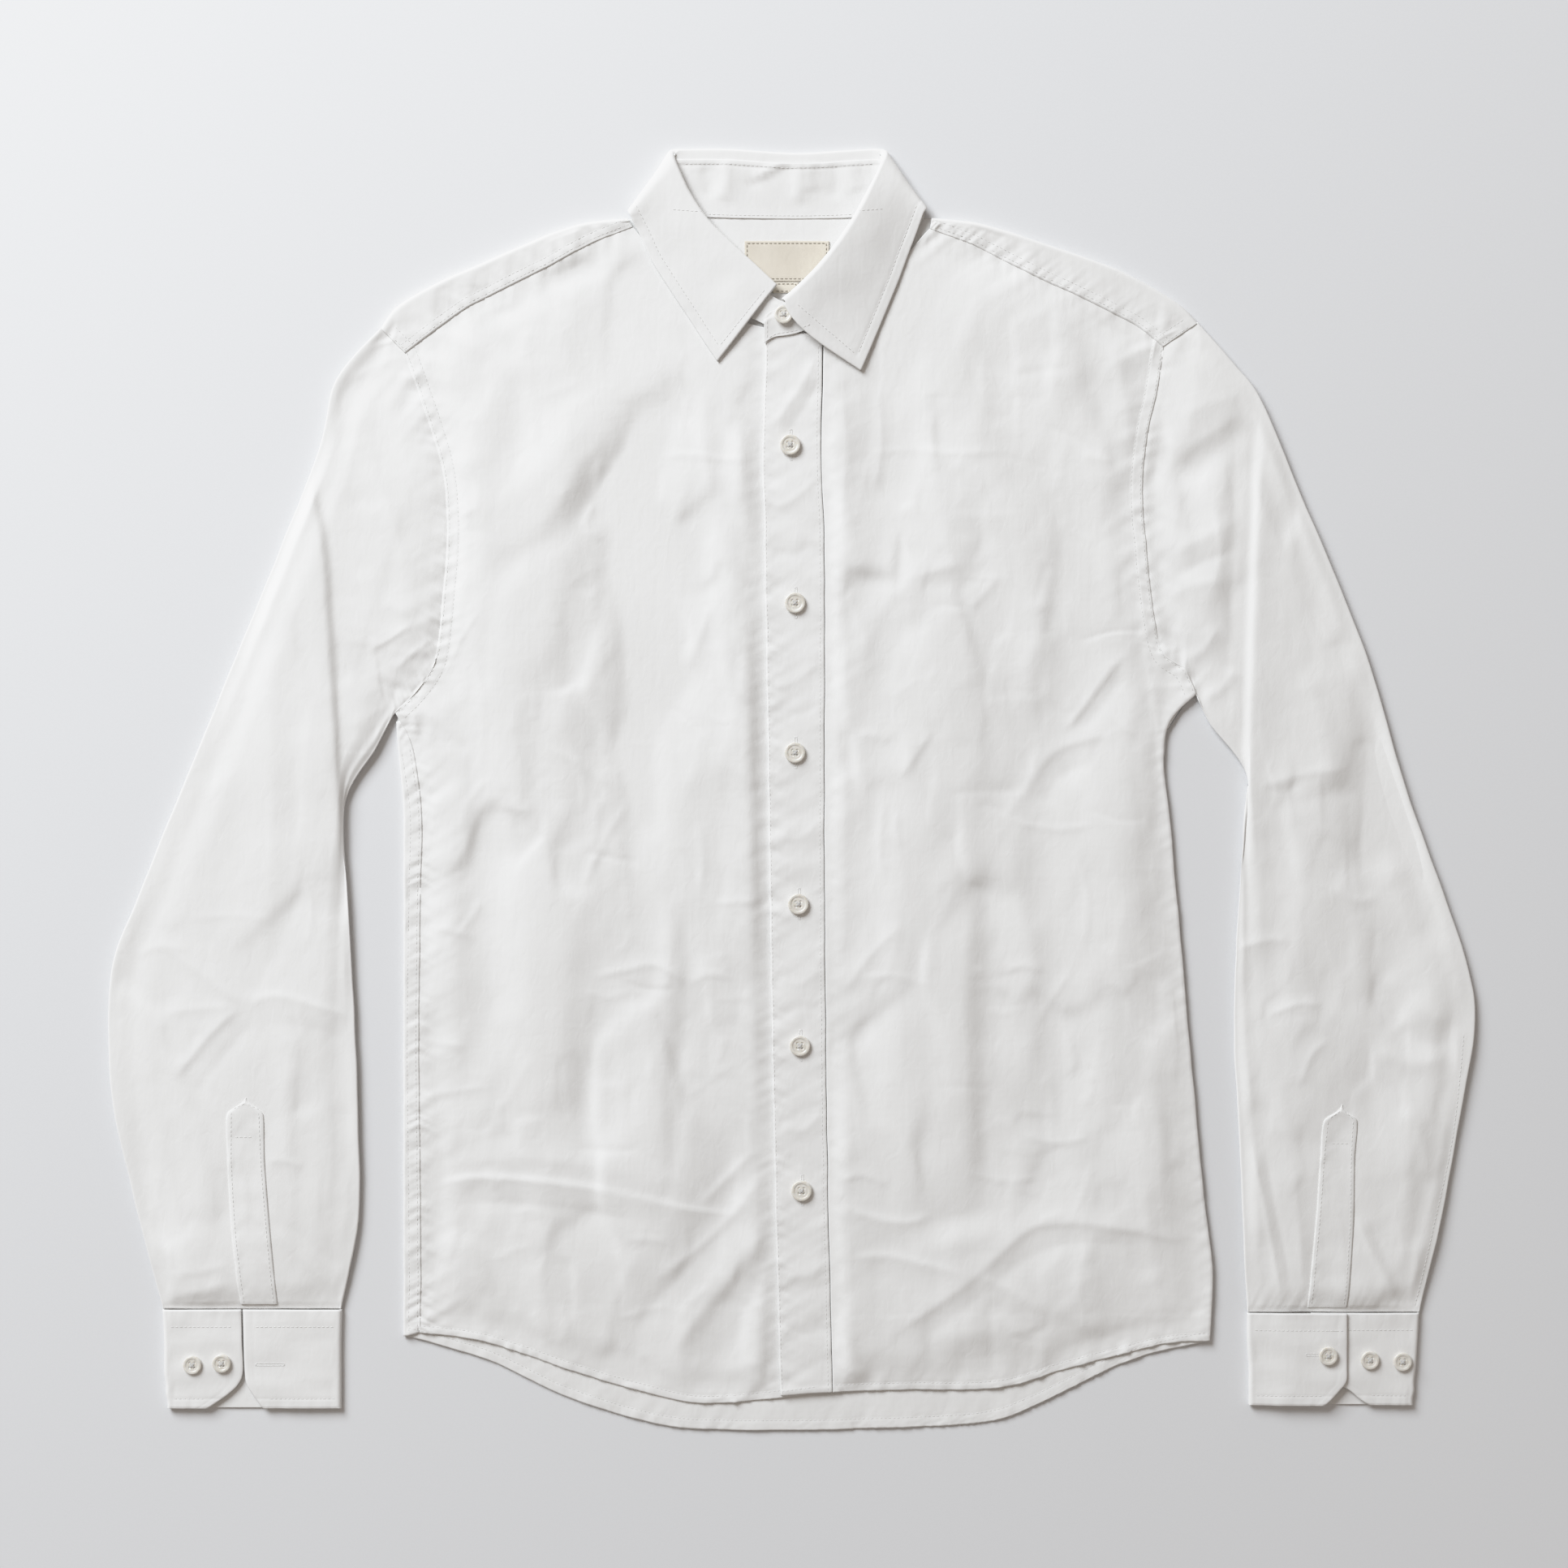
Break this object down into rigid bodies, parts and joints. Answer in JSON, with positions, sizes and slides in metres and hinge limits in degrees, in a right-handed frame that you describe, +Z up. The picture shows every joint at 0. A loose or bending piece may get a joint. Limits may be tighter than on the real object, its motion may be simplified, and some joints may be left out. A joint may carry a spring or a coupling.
{
  "type": "dress shirt laid flat",
  "caption": "Long-sleeved cotton dress shirt lying flat on its back, buttoned, lightly creased, with turn-down collar and barrel cuffs.",
  "frame": {"origin": "centre of the shirt's box on the surface it lies on", "axes": "+Z up out of the surface, +Y towards the collar, +X to the viewer's right seen from above"},
  "size_m": [0.8392, 0.7887, 0.0117],
  "materials": {
    "cotton": "plain white cotton poplin, matte, softly creased",
    "button": "cream sewn-through buttons, soft gloss",
    "label": "bare cream woven label"
  },
  "bodies": {
    "root": {"back": "cotton", "yoke": "cotton", "front_left": "cotton", "front_right": "cotton", "placket": "cotton", "sleeve_left": "cotton", "sleeve_right": "cotton", "sleeve_placket_left": "cotton", "sleeve_placket_right": "cotton", "cuff_left": "cotton", "cuff_right": "cotton", "collar_leaf": "cotton", "collar_band": "cotton", "button_collar": "button", "button_front_1": "button", "button_front_2": "button", "button_front_3": "button", "button_front_4": "button", "button_front_5": "button", "button_front_6": "button", "button_cuff_left_1": "button", "button_cuff_left_2": "button", "button_cuff_right_1": "button", "button_cuff_right_2": "button", "button_cuff_right_3": "button", "label_main": "label", "label_small": "label"}
  },
  "joints": []
}
